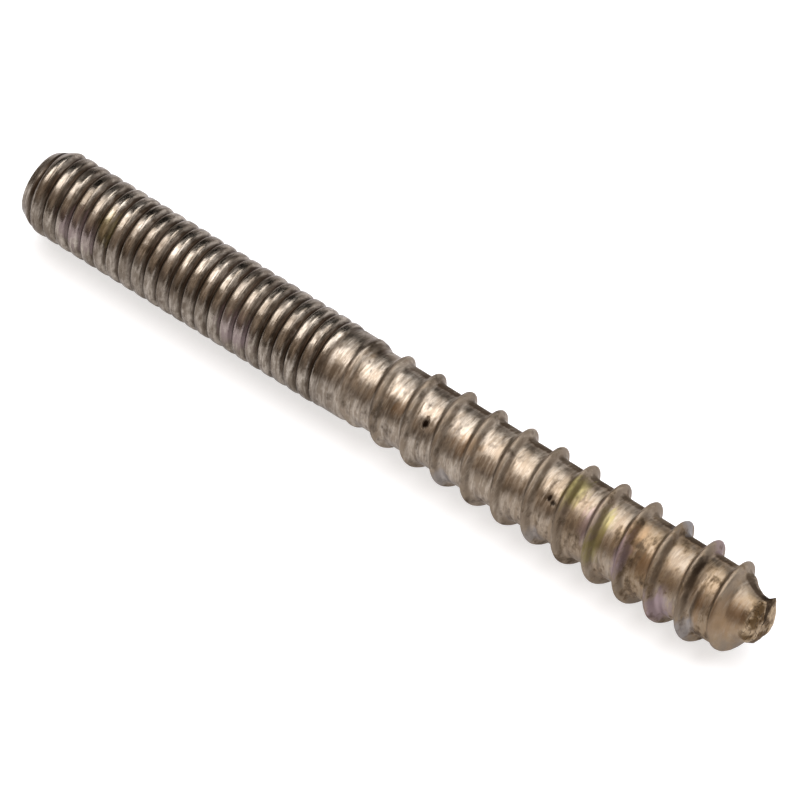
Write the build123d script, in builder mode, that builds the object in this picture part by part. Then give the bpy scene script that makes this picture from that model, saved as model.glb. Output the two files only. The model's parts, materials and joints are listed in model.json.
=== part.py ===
"""Hanger bolt: a machine-screw stud and a lag-screw end, rolled on one steel rod.

The bolt lies along X, the lag point towards +X. The origin is on the axis, at the middle of the
plain collar where the two ends meet. Lengths are in millimetres, and angles round the axis are in
degrees by the right-hand rule about +X, counted from the side that faces +Z. The fine machine
thread is not cut: the stud has the radius of its crests. The lag thread is right-handed.
"""
from build123d import *
import os

# machine-screw stud, for a 5/16-18 UNC nut
stud_radius = 3.93             # over the crests of its thread
stud_end_x = -34.45
stud_end_radius = 3.15
stud_chamfer_length = 1.60
stud_shoulder_length = 0.20    # cone from the crests down to the collar

# plain collar between the two threads
collar_radius = 3.76
collar_from_x = -1.00
collar_to_x = 1.00
collar_step_length = 0.90      # cone from the collar down to the lag core

# core of the lag end and its point
core_radius = 3.43
point_from_x = 40.40

# nib where the point was nipped off: it leans to one side and ends in slanting facets
nib_from_x = 42.30
nib_from_radius = 2.32
nib_end_x = 43.90
nib_end_radius = 2.05
nib_lean = 0.28
nib_lean_side = -57
nib_facets = (                 # side it faces, slope, and where its plane meets the axis
    (123, 0.90, 44.66),
    (54, 0.35, 44.10),
    (-18, 0.20, 43.95),
)

# burr left standing on the rim of the nib, on the side it leans to
burr_x = 43.65
burr_height = 0.45
burr_length = 0.80
burr_width = 0.70
burr_root = 0.50               # how deep it is rooted in the nib

# lag thread
lag_pitch = 3.304
lag_start_x = 0.916            # where its crest leaves the collar, on the +Z side
lag_turns = 12.1
lag_crest_width = 0.50
lag_base_width = 1.50          # where a full thread meets the core
lag_low_height = 0.55          # of the crest over the core, after the first turn
lag_full_height = 0.98
lag_full_from_turn = 9
lag_fall_from_turn = 11        # the crest runs out on the point
lag_root = 0.50                # how deep the swept section is rooted in the core
lag_section_turns = (0, 0.5, 1, 2, 3, 5, 7, 9, 10, 11, 11.5, lag_turns)


def axial_plane(side):
    """Plane through the axis, whose local X runs along the bolt and local Y out to that side."""
    return Plane((0, 0, 0), x_dir=(1, 0, 0), z_dir=Vector(0, -1, 0).rotate(Axis.X, side))


def core_radius_at(x):
    """Radius of the core and of the point's cone."""
    down = min(1, max(0, (x - point_from_x) / (nib_from_x - point_from_x)))
    return core_radius - (core_radius - nib_from_radius) * down


def crest_height(turn):
    """Height of the lag crest over the core, along the thread."""
    if turn < 1:
        return lag_low_height * turn
    rise = min(1, (turn - 1) / (lag_full_from_turn - 1))
    fall = max(0, turn - lag_fall_from_turn) / (lag_turns - lag_fall_from_turn)
    return (lag_low_height + (lag_full_height - lag_low_height) * rise) * (1 - fall)


# --- stud, collar, core and point, turned on one axis
with BuildPart() as rod:
    with BuildSketch(Plane.XY):
        with BuildLine():
            Polyline(
                (stud_end_x, 0),
                (stud_end_x, stud_end_radius),
                (stud_end_x + stud_chamfer_length, stud_radius),
                (collar_from_x - stud_shoulder_length, stud_radius),
                (collar_from_x, collar_radius),
                (collar_to_x, collar_radius),
                (collar_to_x + collar_step_length, core_radius),
                (point_from_x, core_radius),
                (nib_from_x, nib_from_radius),
                (nib_from_x, 0),
                close=True,
            )
        make_face()
    revolve(axis=Axis.X)

# --- lag thread: a section that changes along its helix
flank_spread = (lag_base_width - lag_crest_width) / lag_full_height

with BuildPart() as lag_thread:
    with BuildLine() as helix:
        Helix(
            pitch=lag_pitch,
            height=lag_turns * lag_pitch,
            radius=core_radius,
            center=(lag_start_x, 0, 0),
            direction=(1, 0, 0),
        )
    for turn in lag_section_turns:
        x = lag_start_x + turn * lag_pitch
        outer = core_radius_at(x) + crest_height(turn)
        inner = core_radius_at(x) - lag_root
        base_width = lag_crest_width + (outer - inner) * flank_spread
        with BuildSketch(axial_plane(360 * turn)):
            with BuildLine():
                Polyline(
                    (x - base_width / 2, inner),
                    (x - lag_crest_width / 2, outer),
                    (x + lag_crest_width / 2, outer),
                    (x + base_width / 2, inner),
                    close=True,
                )
            make_face()
    sweep(path=helix.wire(), multisection=True, is_frenet=True)

# --- nib, cut to its facets, with the burr on its rim
with BuildPart() as nib:
    with BuildSketch(Plane.YZ.offset(nib_from_x)):
        Circle(nib_from_radius)
    lean = Vector(0, 0, nib_lean).rotate(Axis.X, nib_lean_side)
    with BuildSketch(Plane.YZ.offset(nib_end_x)):
        with Locations((lean.Y, lean.Z)):
            Circle(nib_end_radius)
    loft()
    for side, slope, reach in nib_facets:
        facing = Vector(1, 0, slope).rotate(Axis.X, side)
        with BuildSketch(Plane((reach, 0, 0), z_dir=facing)):
            Rectangle(6 * nib_end_radius, 6 * nib_end_radius)
        extrude(amount=2 * nib_end_radius, mode=Mode.SUBTRACT)
    rim_radius = nib_end_radius + nib_lean
    with BuildSketch(axial_plane(nib_lean_side)):
        with BuildLine():
            Polyline(
                (burr_x - burr_length, rim_radius - burr_root),
                (burr_x, rim_radius + burr_height),
                (burr_x + 0.1, rim_radius - burr_root),
                close=True,
            )
        make_face()
    extrude(amount=burr_width / 2, both=True)

with BuildPart() as hanger_bolt:
    add(rod.part)
    add(lag_thread.part)
    add(nib.part)

hanger_bolt.part.label = "hanger_bolt"
os.makedirs("parts", exist_ok=True)
export_step(hanger_bolt.part, "parts/hanger_bolt.step")
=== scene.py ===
import json
import math
from types import SimpleNamespace

import bpy
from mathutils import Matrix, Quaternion, Vector


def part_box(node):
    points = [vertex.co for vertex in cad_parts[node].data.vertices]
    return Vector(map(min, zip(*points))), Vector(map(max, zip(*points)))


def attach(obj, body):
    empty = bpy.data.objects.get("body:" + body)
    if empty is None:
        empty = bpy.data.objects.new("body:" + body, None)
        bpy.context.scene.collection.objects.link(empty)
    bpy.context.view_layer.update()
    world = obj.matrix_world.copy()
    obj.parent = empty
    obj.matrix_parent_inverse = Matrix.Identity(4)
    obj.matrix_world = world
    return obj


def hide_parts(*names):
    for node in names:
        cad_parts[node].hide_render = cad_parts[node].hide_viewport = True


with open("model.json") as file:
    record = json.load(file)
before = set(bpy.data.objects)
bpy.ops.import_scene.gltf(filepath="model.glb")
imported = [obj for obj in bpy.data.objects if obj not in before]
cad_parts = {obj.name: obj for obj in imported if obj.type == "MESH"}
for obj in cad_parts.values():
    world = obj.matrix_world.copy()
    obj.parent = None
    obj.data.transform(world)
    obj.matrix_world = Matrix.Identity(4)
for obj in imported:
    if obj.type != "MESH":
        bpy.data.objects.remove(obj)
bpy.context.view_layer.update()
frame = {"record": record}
boltLow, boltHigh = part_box("hanger_bolt")
mounts = {mount["name"]: mount for mount in frame["record"]["mounts"]}
mm = 0.001
fullTurn = 2 * math.pi

# The bolt lies along X with its lag point towards +X. Lengths in the dictionaries are in
# millimetres; angles round the bolt are in turns, from +Y (0) by +Z (0.25) towards -Y (0.5).

boltSizes = {
    "Stud End": boltLow.x / mm,
    "Stud Radius": mounts["stud"]["dims"]["r_mm"],      # over the crests
    "Collar Radius": mounts["collar"]["dims"]["r_mm"],
    "Collar From": -1.0,
    "Collar To": 0.95,
    "Collar Step": 1.0,             # over which the collar comes down to the lag core
    "Point From": 38.0,             # from here the core's outline narrows to the nib
    "Point End": boltHigh.x / mm - 0.05,
    "Stud Pitch": 25.4 / 18,
    "Stud Depth": 0.44,
    "Stud Crest": -0.42,            # where a crest crosses the top
    "Stud Chamfer": 1.55,
    "Stud Chamfer Drop": 0.80,
    "Stud Chamfer Blend": 0.12,
    "End Dish": 0.12,               # hollow of the stud's end face
    "End Dish Reach": 0.8,          # from the rim inwards, as a share of the radius
    "Runout": 1.3,                  # over which the machine thread fades into the collar
    "Lag Pitch": 3.304,
    "Lag Crest": 0.916,             # where the lag thread starts, at the top
    "Lag Core": 3.40,
    "Lag Height": 1.05,
    "Crest Waviness": 0.10,
}
# outlines of a crest, from its top to midway between two crests
machineCrest = [(0, 1), (0.38, 0.96), (0.86, 0.08), (1, 0)]
lagCrest = [(0, 1), (0.09, 0.93), (0.33, 0.12), (0.48, 0), (1, 0)]
crestRise = {                       # height of the lag crest along its turns
    "fromTurn": -0.2,
    "toTurn": 13.0,
    "shape": [(0, 0.0), (0.03, 0.25), (0.1, 0.55), (0.5, 0.82), (0.86, 1.0), (0.909, 0.80),
              (0.95, 0.86), (0.963, 0.84), (0.978, 0.05), (1, 0)],
}
pointShape = [(0, 1), (0.46, 1.0), (0.489, 0.992), (0.530, 0.925), (0.636, 0.79), (0.704, 0.715),
              (0.76, 0.665), (0.817, 0.635), (0.889, 0.615), (1, 0.605)]
crestWaves = {                      # how uneven rolling and handling left the crests
    "rod": 4.0,                     # radius of the rod that the waves are read on
    "fineness": 0.7,                # waves to a millimetre
    "detail": 4.0,
    "roughness": 0.65,
    "wear": 0.25,                   # crests are worn down more than they stand up
    "studShare": 0.35,              # of the lag thread's waves
}

nib = {
    "from": 41.2,                   # where the core starts to lean
    "to": 43.2,
    "leanTurn": 0.092,              # the side it leans to, where the burr stands
    "lean": 0.24,
    "burrFrom": 43.3,
    "burrTurn": 0.060,
    "burrHeight": 0.42,
    "burrReach": 0.3,               # from the rim inwards, as a share of the radius
    "facets": [                     # turn it faces, slope, and where its plane meets the axis
        (0.592, 0.90, 44.90), (0.40, 0.35, 44.10), (0.20, 0.20, 43.98), (0.84, 0.12, 44.07),
        (0.70, 0.45, 44.42), (0.03, 0.20, 44.10), (0.30, 0.75, 44.62), (0.49, 0.60, 44.36),
    ],
    "dentSize": 1.6,                # dents to a millimetre
    "dentDepth": 0.45,
}


def addNode(tree, kind, **settings):
    node = tree.nodes.new(kind)
    for name, value in settings.items():
        setattr(node, name, value)
    return node


def feed(tree, socket, value):
    if isinstance(value, bpy.types.NodeSocket):
        tree.links.new(value, socket)
    else:
        socket.default_value = value


def calc(tree, operation, *values):
    node = addNode(tree, "ShaderNodeMath", operation=operation)
    for socket, value in zip(node.inputs, values):
        feed(tree, socket, value)
    return node.outputs[0]


def product(tree, total, *factors):
    for factor in factors:
        total = calc(tree, "MULTIPLY", total, factor)
    return total


def addTo(tree, total, *terms):
    # total + value * weight, for each (value, weight)
    for value, weight in terms:
        total = calc(tree, "MULTIPLY_ADD", value, weight, total)
    return total


def blendTo(tree, start, end, share):
    # start + (end - start) * share
    return addTo(tree, start, (calc(tree, "SUBTRACT", end, start), share))


def remap(tree, value, fromLow, fromHigh, toLow=0.0, toHigh=1.0, smooth=False):
    node = addNode(tree, "ShaderNodeMapRange", clamp=True)
    node.interpolation_type = "SMOOTHSTEP" if smooth else "LINEAR"
    for socket, number in zip(node.inputs, (value, fromLow, fromHigh, toLow, toHigh)):
        feed(tree, socket, number)
    return node.outputs[0]


def outline(tree, value, points):
    # a curve through a few (position, height) points, both from 0 to 1
    node = addNode(tree, "ShaderNodeFloatCurve")
    curve = node.mapping.curves[0]
    curve.points[0].location = points[0]
    curve.points[1].location = points[-1]
    for spot in points[1:-1]:
        curve.points.new(*spot)
    node.mapping.update()
    feed(tree, node.inputs["Value"], value)
    return node.outputs[0]


def vectorOf(tree, *parts):
    node = addNode(tree, "ShaderNodeCombineXYZ")
    for socket, part in zip(node.inputs, parts):
        feed(tree, socket, part)
    return node.outputs[0]


def partsOf(tree, vector):
    node = addNode(tree, "ShaderNodeSeparateXYZ")
    tree.links.new(vector, node.inputs[0])
    return list(node.outputs)


def noiseAt(tree, vector, fineness, detail=2.0, roughness=0.5):
    # a noise round 0, about -0.5 to 0.5
    node = addNode(tree, "ShaderNodeTexNoise")
    tree.links.new(vector, node.inputs["Vector"])
    node.inputs["Scale"].default_value = fineness
    node.inputs["Detail"].default_value = detail
    node.inputs["Roughness"].default_value = roughness
    return calc(tree, "SUBTRACT", node.outputs[0], 0.5)


# Geometry: flat sheets of (along, turn, inward) are rolled up into the bolt.

sheetPlan = {
    "around": 96,                   # columns round the bolt
    "studRows": 14,                 # rows for each turn of the machine thread
    "lagRows": 28,                  # rows for each turn of the lag thread
    "collarRows": 24,
    "tipRows": 22,
    "endRings": 22,
    "spareRows": 2,                 # a slanting sheet needs more rows than its length
    "collarFrom": -1.2,             # where one sheet meets the next
    "lagFrom": 0.5,
    "tipFrom": 42.6,
    "halfBlend": 0.1,               # the two outlines blend over this, either side of the origin
    "weld": 0.002,
}


def sheet(tree, rows, layOut):
    # a flat grid; layOut turns a row number and a turn into a place along and inward
    columns = sheetPlan["around"] + 1
    grid = addNode(tree, "GeometryNodeMeshGrid")
    feed(tree, grid.inputs["Vertices X"], rows)
    feed(tree, grid.inputs["Vertices Y"], columns)
    index = addNode(tree, "GeometryNodeInputIndex").outputs[0]
    halfOver = calc(tree, "ADD", index, 0.5)            # keeps the rounding down steady
    row = calc(tree, "FLOOR", calc(tree, "DIVIDE", halfOver, columns))
    turn = calc(tree, "DIVIDE", addTo(tree, index, (row, -columns)), sheetPlan["around"])
    along, inward = layOut(row, turn)
    laid = addNode(tree, "GeometryNodeSetPosition")
    tree.links.new(grid.outputs["Mesh"], laid.inputs["Geometry"])
    feed(tree, laid.inputs["Position"], vectorOf(tree, along, turn, inward))
    return laid.outputs[0]


def barrelSheet(tree, low, high, rowStep, lead):
    # rows from low to high, which follow a thread of this lead and are trimmed at both ends
    def layOut(row, turn):
        shift = product(tree, calc(tree, "SUBTRACT", turn, 1.0), lead)
        along = calc(tree, "ADD", addTo(tree, low, (row, rowStep)), shift)
        return calc(tree, "MINIMUM", calc(tree, "MAXIMUM", along, low), high), 0.0

    reach = calc(tree, "ADD", calc(tree, "SUBTRACT", high, low), lead)
    rows = calc(tree, "CEIL", calc(tree, "DIVIDE", reach, rowStep))
    return sheet(tree, calc(tree, "ADD", rows, sheetPlan["spareRows"]), layOut)


def endSheet(tree, where):
    # rings from the rim to the middle of an end face
    rings = sheetPlan["endRings"]
    return sheet(tree, rings + 1, lambda ring, turn: (where, calc(tree, "DIVIDE", ring, rings)))


def flatBolt(tree, sizes):
    # all the sheets, one for each stretch, joined and facing outwards
    stretches = [endSheet(tree, sizes["Stud End"])]
    for low, high, rowCount, lead in (
            (sizes["Stud End"], sheetPlan["collarFrom"], sheetPlan["studRows"], sizes["Stud Pitch"]),
            (sheetPlan["collarFrom"], sheetPlan["lagFrom"], sheetPlan["collarRows"], 0.0),
            (sheetPlan["lagFrom"], sheetPlan["tipFrom"], sheetPlan["lagRows"], sizes["Lag Pitch"]),
            (sheetPlan["tipFrom"], sizes["Point End"], sheetPlan["tipRows"], 0.0)):
        reach = lead if lead else calc(tree, "SUBTRACT", high, low)
        stretches.append(barrelSheet(tree, low, high, calc(tree, "DIVIDE", reach, rowCount), lead))
    stretches.append(endSheet(tree, sizes["Point End"]))
    joined = addNode(tree, "GeometryNodeJoinGeometry")
    for number, stretch in reversed(list(enumerate(stretches))):
        if number:                  # all but the stud's end face are turned to face outwards
            turned = addNode(tree, "GeometryNodeFlipFaces")
            tree.links.new(stretch, turned.inputs["Mesh"])
            stretch = turned.outputs[0]
        tree.links.new(stretch, joined.inputs[0])
    return joined.outputs[0]


def crestDistance(tree, spot, pitch, crestAt):
    # 0 on a crest, 1 midway between two crests of a right-handed helix
    turns = calc(tree, "DIVIDE", calc(tree, "SUBTRACT", spot.along, crestAt), pitch)
    turns = calc(tree, "SUBTRACT", turns, calc(tree, "SUBTRACT", spot.turn, 0.25))
    return product(tree, calc(tree, "ABSOLUTE", calc(tree, "WRAP", turns, 0.5, -0.5)), 2.0)


def studOutline(tree, sizes, spot):
    # machine thread: rounded crests and tight roots, a chamfered end, and a runout at the collar
    height = outline(tree, crestDistance(tree, spot, sizes["Stud Pitch"], sizes["Stud Crest"]), machineCrest)
    radius = addTo(tree, sizes["Stud Radius"], (calc(tree, "SUBTRACT", height, 1.0), sizes["Stud Depth"]))
    runoutFrom = calc(tree, "SUBTRACT", sizes["Collar From"], sizes["Runout"])
    fade = remap(tree, spot.along, runoutFrom, sizes["Collar From"], smooth=True)
    radius = blendTo(tree, radius, sizes["Collar Radius"], fade)
    fromEnd = calc(tree, "SUBTRACT", spot.along, sizes["Stud End"])
    drop = remap(tree, fromEnd, 0.0, sizes["Stud Chamfer"], sizes["Stud Chamfer Drop"], 0.0)
    chamfer = calc(tree, "SUBTRACT", sizes["Stud Radius"], drop)
    radius = calc(tree, "SMOOTH_MIN", radius, chamfer, sizes["Stud Chamfer Blend"])
    return radius, product(tree, height, calc(tree, "SUBTRACT", 1.0, fade))


def lagOutline(tree, sizes, spot):
    # core with its step and narrowing point, and the thread that rises and falls along its turns
    pointPlace = remap(tree, spot.along, sizes["Point From"], sizes["Point End"])
    core = product(tree, sizes["Lag Core"], outline(tree, pointPlace, pointShape))
    stepTo = calc(tree, "ADD", sizes["Collar To"], sizes["Collar Step"])
    step = remap(tree, spot.along, sizes["Collar To"], stepTo, smooth=True)
    core = blendTo(tree, sizes["Collar Radius"], core, step)
    turns = calc(tree, "DIVIDE", calc(tree, "SUBTRACT", spot.along, sizes["Lag Crest"]), sizes["Lag Pitch"])
    crest = outline(tree, remap(tree, turns, crestRise["fromTurn"], crestRise["toTurn"]), crestRise["shape"])
    distance = crestDistance(tree, spot, sizes["Lag Pitch"], sizes["Lag Crest"])
    height = product(tree, outline(tree, distance, lagCrest), crest)
    return addTo(tree, core, (height, sizes["Lag Height"])), height


def boltOutline(tree, sizes, spot):
    # one radius for the whole bolt, with uneven crests, and the crest height that the finish reads
    studRadius, studHeight = studOutline(tree, sizes, spot)
    lagRadius, lagHeight = lagOutline(tree, sizes, spot)
    radius = blendTo(tree, studRadius, lagRadius, spot.isLag)
    height = blendTo(tree, studHeight, lagHeight, spot.isLag)
    onRod = vectorOf(tree, spot.along, product(tree, spot.cosine, crestWaves["rod"]),
                     product(tree, spot.sine, crestWaves["rod"]))
    waves = noiseAt(tree, onRod, crestWaves["fineness"], crestWaves["detail"], crestWaves["roughness"])
    uneven = product(tree, calc(tree, "SUBTRACT", waves, crestWaves["wear"]), height)
    share = blendTo(tree, crestWaves["studShare"], 1.0, spot.isLag)
    radius = addTo(tree, radius, (uneven, product(tree, sizes["Crest Waviness"], share)))
    return product(tree, radius, calc(tree, "SUBTRACT", 1.0, spot.inward)), height


def leanNib(tree, sizes, spot, radius):
    # the nib at the point leans off centre, with a burr on its rim
    toBurr = calc(tree, "WRAP", calc(tree, "SUBTRACT", spot.turn, nib["leanTurn"]), 0.5, -0.5)
    toBurr = calc(tree, "ABSOLUTE", toBurr)
    burr = product(tree, remap(tree, toBurr, 0.0, nib["burrTurn"], 1.0, 0.0, smooth=True),
                   remap(tree, spot.along, nib["burrFrom"], sizes["Point End"]),
                   remap(tree, spot.inward, 0.0, nib["burrReach"], 1.0, 0.0))
    radius = addTo(tree, radius, (burr, nib["burrHeight"]))
    lean = product(tree, remap(tree, spot.along, nib["from"], nib["to"], smooth=True), nib["lean"])
    leanAngle = nib["leanTurn"] * fullTurn
    sideways = addTo(tree, product(tree, lean, math.cos(leanAngle)), (radius, spot.cosine))
    upwards = addTo(tree, product(tree, lean, math.sin(leanAngle)), (radius, spot.sine))
    return sideways, upwards


def breakNib(tree, sizes, spot, sideways, upwards):
    # the end face was broken off in slanting facets, and the rows behind close up to it
    cut = sizes["Point End"]
    for facetTurn, slope, reach in nib["facets"]:
        angle = facetTurn * fullTurn
        outwards = addTo(tree, product(tree, upwards, math.sin(angle)), (sideways, math.cos(angle)))
        cut = calc(tree, "MINIMUM", cut, addTo(tree, reach, (outwards, -slope)))
    dents = noiseAt(tree, vectorOf(tree, 0.0, sideways, upwards), nib["dentSize"])
    cut = addTo(tree, cut, (calc(tree, "MINIMUM", dents, 0.0), nib["dentDepth"]))
    tipShare = remap(tree, spot.along, sheetPlan["tipFrom"], sizes["Point End"])
    return addTo(tree, spot.along, (tipShare, calc(tree, "SUBTRACT", cut, sizes["Point End"])))


def buildBoltTree(material):
    tree = bpy.data.node_groups.new("rolledHangerBolt", "GeometryNodeTree")
    tree.interface.new_socket("Geometry", in_out="OUTPUT", socket_type="NodeSocketGeometry")
    for name in boltSizes:
        tree.interface.new_socket(name, in_out="INPUT", socket_type="NodeSocketFloat")
    sizes = addNode(tree, "NodeGroupInput").outputs

    # from a place on the flat sheets to its place on the bolt
    along, turn, inward = partsOf(tree, addNode(tree, "GeometryNodeInputPosition").outputs[0])
    angle = product(tree, turn, fullTurn)
    spot = SimpleNamespace(along=along, turn=turn, inward=inward)
    spot.cosine, spot.sine = calc(tree, "COSINE", angle), calc(tree, "SINE", angle)
    spot.isLag = remap(tree, along, -sheetPlan["halfBlend"], sheetPlan["halfBlend"])
    radius, height = boltOutline(tree, sizes, spot)
    sideways, upwards = leanNib(tree, sizes, spot, radius)
    forward = breakNib(tree, sizes, spot, sideways, upwards)
    dish = product(tree, remap(tree, inward, 0.0, sizes["End Dish Reach"], smooth=True), sizes["End Dish"])
    forward = addTo(tree, forward, (dish, calc(tree, "SUBTRACT", 1.0, spot.isLag)))

    # the crest height is stored while the sheets are flat, and then they are rolled up
    keep = addNode(tree, "GeometryNodeStoreNamedAttribute", data_type="FLOAT", domain="POINT")
    keep.inputs["Name"].default_value = "crestHeight"
    feed(tree, keep.inputs["Value"], height)
    rolled = addNode(tree, "GeometryNodeSetPosition")
    feed(tree, rolled.inputs["Position"], vectorOf(tree, forward, sideways, upwards))
    toMetres = addNode(tree, "GeometryNodeTransform")
    toMetres.inputs["Scale"].default_value = (mm, mm, mm)
    welded = addNode(tree, "GeometryNodeMergeByDistance")
    welded.inputs["Distance"].default_value = sheetPlan["weld"] * mm
    smooth = addNode(tree, "GeometryNodeSetShadeSmooth")
    real = addNode(tree, "GeometryNodeRealizeInstances")
    coat = addNode(tree, "GeometryNodeSetMaterial")
    coat.inputs["Material"].default_value = material
    geometry = flatBolt(tree, sizes)
    for node in (keep, rolled, toMetres, welded, smooth, real, coat):
        tree.links.new(geometry, node.inputs["Geometry"])
        geometry = node.outputs[0]
    tree.links.new(geometry, addNode(tree, "NodeGroupOutput").inputs["Geometry"])
    return tree


def grow(tree, name, values):
    # runs the tree on an empty mesh and keeps the result as a plain mesh object
    seed = bpy.data.objects.new(name + "Seed", bpy.data.meshes.new(name + "Seed"))
    bpy.context.scene.collection.objects.link(seed)
    modifier = seed.modifiers.new("grow", "NODES")
    modifier.node_group = tree
    for item in tree.interface.items_tree:
        if item.in_out == "INPUT":
            modifier[item.identifier] = values[item.name]
    evaluated = seed.evaluated_get(bpy.context.evaluated_depsgraph_get())
    mesh = bpy.data.meshes.new_from_object(evaluated)
    bpy.data.objects.remove(seed)
    mesh.name = name
    piece = bpy.data.objects.new(name, mesh)
    bpy.context.scene.collection.objects.link(piece)
    return piece


# Finish: zinc plating, worn and stained, over steel, with painted shade in the machine thread's grooves, in
# the nib's creases and along the back of the lag core.

finish = {
    "brown": (0.135, 0.111, 0.088),
    "pale": (0.36, 0.318, 0.275),
    "lagBrown": (0.20, 0.162, 0.125),
    "lagPale": (0.43, 0.380, 0.325),
    "golden": (0.27, 0.195, 0.122),
    "olive": (0.240, 0.210, 0.085),
    "mauve": (0.280, 0.214, 0.236),
    # grime and painted shade deep in the machine thread
    "grooveGrimeAndShade": (0.036, 0.024, 0.016),
    "crest": (0.215, 0.172, 0.130),
    "nib": (0.115, 0.073, 0.036),
    "fresh": (0.44, 0.34, 0.23),    # bare metal on the nib
    # painted shade in the creases of the broken nib
    "crease": (0.040, 0.024, 0.012),
    "rust": (0.24, 0.150, 0.080),
    "blueGrey": (0.27, 0.28, 0.31),
    # soil, and also the colour of the painted shade along the back of the lag core
    "soilAndShade": (0.062, 0.043, 0.028),
    "pit": (0.010, 0.006, 0.004),
    "edge": (0.70, 0.68, 0.68),     # reflection at a grazing angle
}
dullness = {                        # roughness of each part, then what a layer adds to it
    "stud": 0.26,
    "lag": 0.34,
    "point": 0.42,
    "crest": 0.56,
    "nib": 0.48,
    "toneAdds": 0.30,
    "soilAndShadeAdds": 0.15,
    "paintedBackShadeAdds": 0.30,
    "grooveAdds": 0.30,
}
relief = {                          # how much each pattern raises or sinks the surface
    "streaksOnLag": 1.5,
    "streaksOnStud": 0.6,
    "blotchOnLag": 1.6,
    "blotchOnStud": 0.9,
    "sawn": 1.6,
    "speckle": 0.35,
    "pit": -3.0,
    "crease": -3.0,
    "wrinkle": 6.0,
    "strength": 0.5,
    "depth": 0.04,
}
# noises: how many to a metre (all ways, or along and across), detail and roughness
patterns = {
    "cloud": (260.0, 3.0, 0.55),
    "blotch": ((1500.0, 850.0, 850.0), 3.0, 0.6),
    "streaks": ((3300.0, 420.0, 420.0), 3.0, 0.65),
    "chips": (700.0, 2.0, 0.5),
    "wrinkle": (1300.0, 2.0, 0.5),
    "sawn": ((200.0, 3600.0, 260.0), 2.0, 0.6),
    "speckle": (4200.0, 2.0, 0.5),
}
# zones and layers run from one value to another; two more numbers are the share at each, if not 0 and 1
zones = {                           # in mm along the bolt
    "stud": (-1.0, -1.6),
    "studTone": (2.0, -1.6),
    "towardsPoint": (8.0, 36.0),
    "nib": (42.7, 43.3),
    # where the painted shade along the back of the lag core begins
    "pastCollar": (3.5, 5.0),
    "cleanerPoint": (40.5, 41.4, 1.0, 0.3),
    "brightPoint": (39.5, 41.5, 1.0, 0.0),
    "studFace": (-34.2, -34.4),
    # the painted shade in the machine thread's grooves, lighter low down
    "paintedShadeTowardsTop": (0.6, 2.2, 0.7, 1.0),        # this one in mm upwards
}
layers = {                          # in the value of a noise, a crest height or a turn
    "pale": (-0.09, 0.16),
    "golden": (-0.18, 0.14, 0.15, 0.95),
    "crest": (0.05, 0.30),
    "crestWear": (-0.12, 0.12, 1.0, 0.15),
    "fresh": (-0.03, 0.11),
    "crease": (0.035, 0.008),
    "soilAndShade": (0.0, 0.22, 0.0, 0.8),
    # the next four shape the painted shade along the back of the lag core
    "backTop": (0.184, 0.166),
    "backBelow": (0.045, 0.130),
    "backBreaks": (-0.20, 0.02, 0.60, 1.0),
    "backHeight": (0.35, 0.02),
    # grime and painted shade in the machine thread's grooves
    "grooveGrimeAndShade": (0.55, 0.08),
    "mark": (1.0, 0.45),
}
weights = {                         # of a pattern in the tone, or in the ragged edge of a layer
    "toneStreaks": 0.8,
    "toneBlotch": 0.7,
    "crestTone": 0.6,
    "creaseShare": 0.65,
    "soilCloud": 0.6,
    "soilOnPoint": 0.10,
    # the next three give the ragged edges of the painted shade along the back of the lag core
    "backTopTone": 0.03,
    "backBelowTone": 0.22,
    "backHeightTone": 0.5,
    "grooveCloud": 0.5,
    "grooveTone": 0.8,
    "markTone": 1.6,
}
markDepth = 3.0                     # reach of a mark into the bolt
# marks: along the bolt in mm, round it in turns, reach along and round in mm, colour and strength
marks = [
    (9.5, 0.356, 0.40, 0.60, "pit", 1.0),
    (5.9, 0.355, 0.80, 0.90, "soilAndShade", 0.6),
    # this one darkens the top of the collar where the lag thread begins
    (1.5, 0.190, 1.20, 1.80, "soilAndShade", 0.8),
    (22.7, 0.342, 0.80, 0.60, "soilAndShade", 0.8),
    (23.3, 0.360, 0.38, 0.32, "pit", 0.9),
    (22.8, 0.350, 0.26, 0.34, "pit", 0.9),
    (32.7, 0.352, 0.90, 0.70, "soilAndShade", 0.7),
    (38.0, 0.300, 0.80, 2.60, "soilAndShade", 0.75),
    (37.6, 0.275, 0.45, 1.20, "pit", 0.45),
    # this one is painted shade along the foot of a ridge
    (38.9, 0.400, 0.40, 2.40, "soilAndShade", 0.7),
    (42.9, 0.330, 0.50, 0.60, "soilAndShade", 0.8),
    (43.1, 0.120, 0.50, 1.00, "pit", 0.8),
    (13.9, 0.352, 1.50, 1.30, "rust", 0.35),
    (6.70, 0.362, 0.70, 0.80, "rust", 0.35),
    (31.3, 0.297, 0.90, 1.90, "rust", 0.50),
    (33.4, 0.386, 1.20, 1.70, "rust", 0.55),
    (39.3, 0.422, 0.45, 1.90, "rust", 0.60),
    (41.9, 0.395, 1.60, 2.40, "rust", 0.50),
    (12.2, 0.560, 1.10, 1.50, "blueGrey", 0.35),
    (21.9, 0.555, 1.10, 1.50, "blueGrey", 0.35),
    (38.5, 0.530, 1.00, 1.80, "blueGrey", 0.45),
    (33.6, 0.110, 1.00, 2.00, "blueGrey", 0.55),
    (36.9, 0.120, 1.00, 2.00, "mauve", 0.60),
    (24.4, 0.270, 1.10, 2.00, "olive", 0.7),
    (28.1, 0.365, 1.00, 3.40, "olive", 0.75),
    (31.0, 0.395, 0.80, 2.60, "mauve", 0.75),
    (27.2, 0.350, 1.10, 2.40, "mauve", 0.55),
    (35.6, 0.520, 1.40, 2.60, "mauve", 0.8),
    (-25.4, 0.360, 1.20, 1.60, "olive", 0.3),
    (-28.0, 0.430, 2.60, 2.00, "mauve", 0.35),
    (-10.5, 0.430, 2.40, 2.00, "mauve", 0.35),
]


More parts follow.
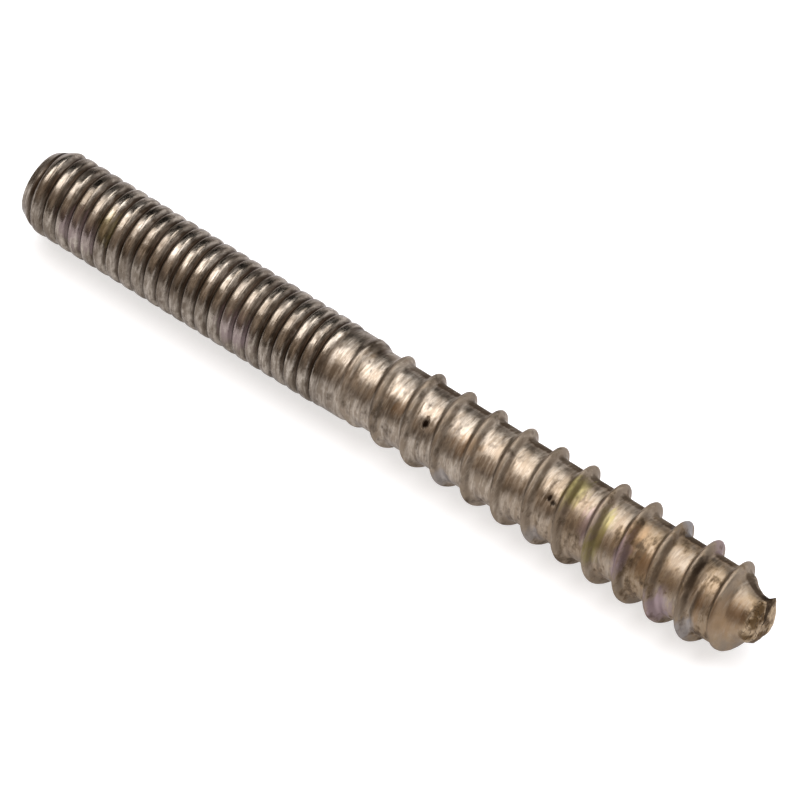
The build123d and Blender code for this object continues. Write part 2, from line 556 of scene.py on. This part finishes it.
def paintMix(tree, under, over, share):
    node = addNode(tree, "ShaderNodeMix", data_type="RGBA")
    feed(tree, node.inputs["Factor"], share)
    for socket, colour in ((node.inputs["A"], under), (node.inputs["B"], over)):
        feed(tree, socket, (*colour, 1) if isinstance(colour, tuple) else colour)
    return node.outputs["Result"]


def patternAt(tree, place, name):
    fineness, detail, roughness = patterns[name]
    if isinstance(fineness, tuple):
        stretched = addNode(tree, "ShaderNodeMapping")
        tree.links.new(place, stretched.inputs["Vector"])
        stretched.inputs["Scale"].default_value = fineness
        place, fineness = stretched.outputs[0], 1.0
    return noiseAt(tree, place, fineness, detail, roughness)


def zone(tree, value, name, smooth=False):
    low, high, *shares = zones[name]
    return remap(tree, value, low * mm, high * mm, *shares, smooth=smooth)


def layer(tree, value, name, smooth=False):
    return remap(tree, value, *layers[name], smooth=smooth)


def readSurface(tree):
    # the patterns and places on the bolt that the layers of the finish depend on
    place = addNode(tree, "ShaderNodeTexCoord").outputs["Object"]
    along, across, upwards = partsOf(tree, place)
    surface = SimpleNamespace(**{name: patternAt(tree, place, name) for name in patterns})
    surface.place, surface.along, surface.upwards = place, along, upwards
    surface.turn = calc(tree, "DIVIDE", calc(tree, "ARCTAN2", upwards, across), fullTurn)
    surface.height = addNode(tree, "ShaderNodeAttribute", attribute_name="crestHeight").outputs["Fac"]
    surface.tone = addTo(tree, product(tree, surface.streaks, weights["toneStreaks"]),
                         (surface.blotch, weights["toneBlotch"]))
    surface.onStud = zone(tree, along, "stud")
    surface.onNib = zone(tree, along, "nib")
    surface.towardsPoint = zone(tree, along, "towardsPoint", smooth=True)
    raggedHeight = addTo(tree, surface.height, (surface.tone, weights["crestTone"]))
    surface.onCrest = product(tree, calc(tree, "SUBTRACT", 1.0, surface.onStud),
                              layer(tree, raggedHeight, "crest"))
    wrinkle = calc(tree, "ABSOLUTE", surface.wrinkle)
    surface.crease = product(tree, layer(tree, wrinkle, "crease"), surface.onNib)
    return surface


def platingColour(tree, surface):
    # grey-brown rolling streaks and blotches, golden towards the point, duller on the lag crests
    nearStud = zone(tree, surface.along, "studTone")
    dark = paintMix(tree, finish["lagBrown"], finish["brown"], nearStud)
    light = paintMix(tree, finish["lagPale"], finish["pale"], nearStud)
    colour = paintMix(tree, dark, light, layer(tree, surface.tone, "pale"))
    golden = layer(tree, calc(tree, "ADD", surface.cloud, surface.blotch), "golden")
    colour = paintMix(tree, colour, finish["golden"], product(tree, surface.towardsPoint, golden))
    wear = layer(tree, surface.tone, "crestWear")
    return paintMix(tree, colour, finish["crest"], product(tree, surface.onCrest, wear))


def nibColour(tree, surface, colour):
    # broken metal with bare chips, and painted shade in its creases
    broken = paintMix(tree, finish["nib"], finish["fresh"], layer(tree, surface.chips, "fresh"))
    colour = paintMix(tree, colour, broken, surface.onNib)
    return paintMix(tree, colour, finish["crease"], product(tree, surface.crease, weights["creaseShare"]))


def soilAndBackShadeShares(tree, surface):
    # soil in thin blotches, and painted shade: a ragged dark line along the back of the lag core, in the
    # same colour
    def ragged(value, weight):
        return addTo(tree, value, (surface.tone, weights[weight]))

    paintedBackShade = product(tree, layer(tree, ragged(surface.turn, "backTopTone"), "backTop"),
                       layer(tree, ragged(surface.turn, "backBelowTone"), "backBelow", smooth=True),
                       layer(tree, surface.cloud, "backBreaks"),
                       layer(tree, ragged(surface.height, "backHeightTone"), "backHeight"),
                       zone(tree, surface.along, "pastCollar"))
    blotches = addTo(tree, surface.blotch, (surface.cloud, weights["soilCloud"]))
    soilAndShade = product(tree, layer(tree, blotches, "soilAndShade"), zone(tree, surface.along, "cleanerPoint"))
    onPoint = product(tree, surface.towardsPoint, weights["soilOnPoint"])
    return calc(tree, "MAXIMUM", calc(tree, "MAXIMUM", soilAndShade, paintedBackShade), onPoint), paintedBackShade


def grooveGrimeAndShadeShare(tree, surface):
    # grime and painted shade deep in the machine thread, all made a little lighter low down as painted shade
    grimeAndShade = addTo(tree, surface.height, (surface.cloud, weights["grooveCloud"]),
                  (surface.tone, weights["grooveTone"]))
    return product(tree, surface.onStud, layer(tree, grimeAndShade, "grooveGrimeAndShade"),
                   zone(tree, surface.upwards, "paintedShadeTowardsTop"))


def markShare(tree, surface, along, turn, reachAlong, reachRound):
    # 1 in the middle of a mark on the surface, 0 outside it, with a ragged edge
    angle, radius = turn * fullTurn, boltSizes["Lag Core"]
    node = addNode(tree, "ShaderNodeMapping", vector_type="TEXTURE")
    tree.links.new(surface.place, node.inputs["Vector"])
    node.inputs["Location"].default_value = (along * mm, radius * math.cos(angle) * mm,
                                             radius * math.sin(angle) * mm)
    node.inputs["Rotation"].default_value = (angle, 0, 0)
    node.inputs["Scale"].default_value = (reachAlong * mm, markDepth * mm, reachRound * mm)
    away = addNode(tree, "ShaderNodeVectorMath", operation="LENGTH")
    tree.links.new(node.outputs[0], away.inputs[0])
    return layer(tree, addTo(tree, away.outputs["Value"], (surface.tone, weights["markTone"])), "mark")


def addMarks(tree, surface, colour):
    # each mark over the last; also gives how deeply the surface is pitted
    pitted = 0.0
    for *spot, colourName, strength in marks:
        share = product(tree, markShare(tree, surface, *spot), strength)
        colour = paintMix(tree, colour, finish[colourName], share)
        if colourName == "pit":
            pitted = calc(tree, "MAXIMUM", pitted, share)
    return colour, pitted


def roughnessOf(tree, surface, soilAndShade, paintedBackShade, grooveGrimeAndShade):
    rough = blendTo(tree, dullness["lag"], dullness["point"], surface.towardsPoint)
    rough = blendTo(tree, rough, dullness["stud"], surface.onStud)
    dullCrest = product(tree, surface.onCrest, zone(tree, surface.along, "brightPoint"))
    rough = blendTo(tree, rough, dullness["crest"], dullCrest)
    rough = blendTo(tree, rough, dullness["nib"], surface.onNib)
    return addTo(tree, rough, (surface.tone, dullness["toneAdds"]), (soilAndShade, dullness["soilAndShadeAdds"]),
                 (paintedBackShade, dullness["paintedBackShadeAdds"]), (grooveGrimeAndShade, dullness["grooveAdds"]))


def reliefOf(tree, surface, pitted):
    # rolling marks round the bolt, saw marks on the stud's end, pits, creases and fine grain
    onFace = product(tree, zone(tree, surface.along, "studFace"), relief["sawn"])
    streaks = remap(tree, surface.onStud, 0.0, 1.0, relief["streaksOnLag"], relief["streaksOnStud"])
    blotch = remap(tree, surface.onStud, 0.0, 1.0, relief["blotchOnLag"], relief["blotchOnStud"])
    height = addTo(tree, product(tree, surface.sawn, onFace),
                   (surface.streaks, streaks), (surface.blotch, blotch),
                   (surface.speckle, relief["speckle"]), (pitted, relief["pit"]),
                   (surface.crease, relief["crease"]),
                   (product(tree, surface.wrinkle, surface.onNib), relief["wrinkle"]))
    bump = addNode(tree, "ShaderNodeBump")
    bump.inputs["Strength"].default_value = relief["strength"]
    bump.inputs["Distance"].default_value = relief["depth"] * mm
    feed(tree, bump.inputs["Height"], height)
    return bump.outputs[0]


def platedSteel():
    material = bpy.data.materials.new("platedSteel")
    material.use_nodes = True
    tree = material.node_tree
    shader = tree.nodes["Principled BSDF"]
    shader.inputs["Metallic"].default_value = 1.0
    shader.inputs["Specular Tint"].default_value = (*finish["edge"], 1)
    surface = readSurface(tree)
    soilAndShade, paintedBackShade = soilAndBackShadeShares(tree, surface)
    grooveGrimeAndShade = grooveGrimeAndShadeShare(tree, surface)
    colour = nibColour(tree, surface, platingColour(tree, surface))
    # soil blotches, and the painted shade along the back of the lag core
    colour = paintMix(tree, colour, finish["soilAndShade"], soilAndShade)
    # grime and painted shade deep in the machine thread
    colour = paintMix(tree, colour, finish["grooveGrimeAndShade"], grooveGrimeAndShade)
    colour, pitted = addMarks(tree, surface, colour)
    feed(tree, shader.inputs["Base Color"], colour)
    feed(tree, shader.inputs["Roughness"], roughnessOf(tree, surface, soilAndShade, paintedBackShade, grooveGrimeAndShade))
    feed(tree, shader.inputs["Normal"], reliefOf(tree, surface, pitted))
    return material


boltTree = buildBoltTree(platedSteel())
bolt = grow(boltTree, "hangerBolt", boltSizes)
print("bolt:", len(bolt.data.vertices), "points", len(bolt.data.polygons), "faces")
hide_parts("hanger_bolt")
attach(bolt, "root")


# A light table, soft lamps and the camera. The places and sizes of these are in metres.

studio = {
    "floorReach": 3.0,
    "floorGap": 0.0001,             # below the bolt
    "floor": (0.52, 0.53, 0.56),
    "floorGlow": 0.62,
    "floorRoughness": 0.9,
    "lamps": {                      # place, what it faces, size, power
        "overhead": ((-0.245, -0.022, 0.548), (0, 0, 0), (0.42, 0.33), 2.30),
        "behind": ((0.252, 0.228, 0.492), (0, 0, 0), (0.68, 0.42), 2.9),
        "nearCard": ((-0.018, 0.083, 0.123), (0.024, 0, 0), (0.076, 0.070), 0.068),
        "pointCard": ((0.154, 0.140, 0.094), (0.042, 0, 0), (0.056, 0.056), 0.044),
    },
    "front": (0.69, 0.56, 0.45),    # light from the room, by where it comes from
    "frontLow": (0.19, 0.145, 0.11),
    "back": (0.62, 0.58, 0.55),
    "darkCorner": (0.0, 0.0, 0.0),
    "frontUp": (0.15, 0.5),         # how high or how far back one gives way to the next
    "backDepth": (-0.2, 0.3),
    "darkDepth": (0.1, 0.6),
    "darkUp": (0.10, 0.28),
}


def lightTable():
    reach, level = studio["floorReach"], boltLow.z - studio["floorGap"]
    mesh = bpy.data.meshes.new("floor")
    mesh.from_pydata([(-reach, -reach, level), (reach, -reach, level),
                      (reach, reach, level), (-reach, reach, level)], [], [(0, 1, 2, 3)])
    paint = bpy.data.materials.new("lightTable")
    paint.use_nodes = True
    inputs = paint.node_tree.nodes["Principled BSDF"].inputs
    inputs["Base Color"].default_value = (*studio["floor"], 1)
    inputs["Roughness"].default_value = studio["floorRoughness"]
    inputs["Emission Color"].default_value = (1, 1, 1, 1)
    inputs["Emission Strength"].default_value = studio["floorGlow"]
    mesh.materials.append(paint)
    table = bpy.data.objects.new("floor", mesh)
    bpy.context.scene.collection.objects.link(table)
    return table


def hangLamp(name, where, faces, size, power):
    light = bpy.data.lights.new(name, "AREA")
    light.shape = "RECTANGLE"
    light.size, light.size_y = size
    light.energy = power
    lamp = bpy.data.objects.new(name, light)
    lamp.location = where
    lamp.rotation_euler = (Vector(where) - Vector(faces)).to_track_quat("Z", "Y").to_euler()
    lamp.visible_camera = False
    bpy.context.scene.collection.objects.link(lamp)


def studioRoom():
    world = bpy.data.worlds.new("studio")
    world.use_nodes = True
    tree = world.node_tree
    depth, up = partsOf(tree, addNode(tree, "ShaderNodeTexCoord").outputs["Generated"])[1:]
    front = remap(tree, up, *studio["frontUp"], smooth=True)
    room = paintMix(tree, studio["frontLow"], studio["front"], front)
    room = paintMix(tree, room, studio["back"], remap(tree, depth, *studio["backDepth"], smooth=True))
    dark = product(tree, remap(tree, depth, *studio["darkDepth"], smooth=True),
                   remap(tree, up, *studio["darkUp"], smooth=True))
    room = paintMix(tree, room, studio["darkCorner"], dark)
    feed(tree, tree.nodes["Background"].inputs["Color"], room)
    return world


floor = lightTable()
for name, settings in studio["lamps"].items():
    hangLamp(name, *settings)
bpy.context.scene.world = studioRoom()
bpy.context.scene.view_settings.view_transform = "Standard"

cameraPlan = {
    "towards": (0.408, -0.500, 0.764),    # from the bolt to the camera
    "distance": 0.900,                    # in metres
    "lens": 477.0,
    "sensor": 36.0,
    "middle": 4.8,                        # along the bolt, near the middle of the view
    "right": 0.1735,
    "up": 0.207,
    "roll": -0.0042,
}


def placeCamera():
    towards = Vector(cameraPlan["towards"]).normalized()
    rightWay = Vector((0, 0, 1)).cross(towards).normalized()
    upWay = towards.cross(rightWay)
    aim = (Vector((cameraPlan["middle"], 0, 0)) + rightWay * cameraPlan["right"]
           + upWay * cameraPlan["up"]) * mm
    view = bpy.data.cameras.new("camera")
    view.lens = cameraPlan["lens"]
    view.sensor_width = cameraPlan["sensor"]
    camera = bpy.data.objects.new("camera", view)
    camera.location = aim + towards * cameraPlan["distance"]
    rolled = towards.to_track_quat("Z", "Y") @ Quaternion((0, 0, 1), cameraPlan["roll"])
    camera.rotation_euler = rolled.to_euler()
    bpy.context.scene.collection.objects.link(camera)
    bpy.context.scene.camera = camera


placeCamera()
print("camera and light placed")
